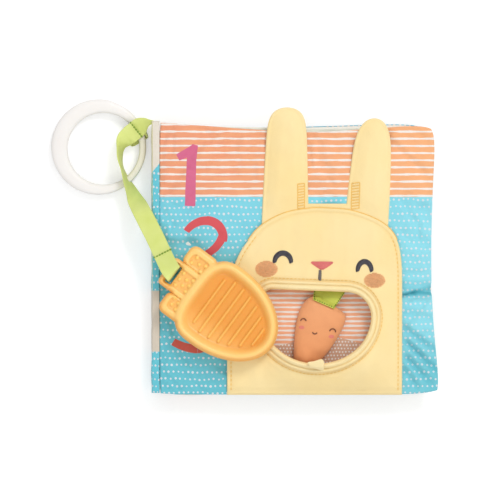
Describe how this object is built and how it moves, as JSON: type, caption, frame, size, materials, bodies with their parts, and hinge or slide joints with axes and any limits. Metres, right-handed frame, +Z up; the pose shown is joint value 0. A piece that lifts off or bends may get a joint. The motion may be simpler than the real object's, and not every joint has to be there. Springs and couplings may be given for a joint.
{
  "type": "cloth book",
  "caption": "Padded crinkle cloth book with a rabbit pouch holding a stuffed carrot on its cover, and a ring and a carrot teether on green ribbon at the spine.",
  "frame": {"origin": "middle of the book on the flat underside of the back cover", "axes": "+X across the page away from the spine, +Y up the page towards the rabbit's ears, +Z up out of the front cover"},
  "size_m": [0.2157, 0.1657, 0.0332],
  "materials": {
    "cover_cloth": "printed cotton, blue with cream dots below orange stripes",
    "page_cloth_green": "printed cotton",
    "page_cloth_cream": "printed cotton",
    "page_cloth_orange": "printed cotton",
    "back_cloth": "printed cotton",
    "crinkle_film": "thin crackling film",
    "wadding": "soft white wadding",
    "lining_cloth": "striped cotton",
    "rabbit_cloth": "brushed yellow knit",
    "eye_thread": "dark satin stitch",
    "nose_thread": "red satin stitch",
    "mouth_thread": "grey satin stitch",
    "cheek_thread": "tan satin stitch",
    "carrot_cloth": "orange brushed cloth",
    "carrot_leaf_ribbon": "green ribbon",
    "green_ribbon": "lime woven ribbon",
    "ring_plastic": "milky soft plastic",
    "teether_silicone": "orange moulded silicone"
  },
  "bodies": {
    "base": {"back_cover_outer_fabric": "back_cloth", "back_cover_crinkle_film": "crinkle_film", "back_cover_wadding": "wadding", "back_cover_inner_fabric": "page_cloth_cream", "spine_fabric": "page_cloth_cream", "ring_ribbon": "green_ribbon", "ribbon_strap": "green_ribbon"},
    "leaf": {"leaf_back_fabric": "page_cloth_orange", "leaf_crinkle_film": "crinkle_film", "leaf_wadding": "wadding", "leaf_front_fabric": "page_cloth_cream"},
    "cover": {"front_cover_inner_fabric": "page_cloth_green", "front_cover_crinkle_film": "crinkle_film", "front_cover_wadding": "wadding", "front_cover_outer_fabric": "cover_cloth", "pouch_lining": "lining_cloth", "rabbit_front": "rabbit_cloth", "window_binding": "rabbit_cloth", "left_eye": "eye_thread", "right_eye": "eye_thread", "nose": "nose_thread", "mouth_line": "mouth_thread", "left_cheek": "cheek_thread", "right_cheek": "cheek_thread", "left_ear_base": "rabbit_cloth", "right_ear_base": "rabbit_cloth"},
    "left_ear": {"left_ear_back_fabric": "rabbit_cloth", "left_ear_wadding": "wadding", "left_ear_front_fabric": "rabbit_cloth"},
    "right_ear": {"right_ear_back_fabric": "rabbit_cloth", "right_ear_wadding": "wadding", "right_ear_front_fabric": "rabbit_cloth"},
    "carrot": {"carrot_front_fabric": "carrot_cloth", "carrot_back_fabric": "carrot_cloth", "carrot_stuffing": "wadding", "carrot_ribbon": "carrot_leaf_ribbon"},
    "teether": {"carrot_teether": "teether_silicone"},
    "ring": {"ring": "ring_plastic"}
  },
  "joints": [
    {"name": "leaf_turn", "type": "hinge", "parent": "base", "child": "leaf", "pos_m": [-0.078, 0, 0.014], "axis": [0, 1, 0], "range_deg": [-175, 0], "deforming": ["spine_fabric", "ribbon_strap"]},
    {"name": "cover_open", "type": "hinge", "parent": "leaf", "child": "cover", "pos_m": [-0.078, 0, 0.014], "axis": [0, -1, 0], "range_deg": [0, 175], "deforming": ["spine_fabric", "ribbon_strap"]},
    {"name": "left_ear_fold", "type": "hinge", "parent": "cover", "child": "left_ear", "pos_m": [-0.0054, 0.042, 0.0222], "axis": [1, 0, 0], "range_deg": [0, 150]},
    {"name": "right_ear_fold", "type": "hinge", "parent": "cover", "child": "right_ear", "pos_m": [0.0423, 0.042, 0.0222], "axis": [1, 0, 0], "range_deg": [0, 150]},
    {"name": "carrot_swing", "type": "hinge", "parent": "cover", "child": "carrot", "pos_m": [0.0205, -0.0105, 0.0226], "axis": [0, 0, 1], "range_deg": [-5, 5]},
    {"name": "teether_tilt", "type": "hinge", "parent": "cover", "child": "teether", "pos_m": [-0.07086, -0.00673, 0.02479], "axis": [-0.5943, -0.8043, 0], "range_deg": [0, 80], "deforming": ["ribbon_strap"]},
    {"name": "ring_spin", "type": "hinge", "parent": "base", "child": "ring", "pos_m": [-0.11, 0.0626, 0.0044], "axis": [0, 0, 1], "continuous": true}
  ]
}
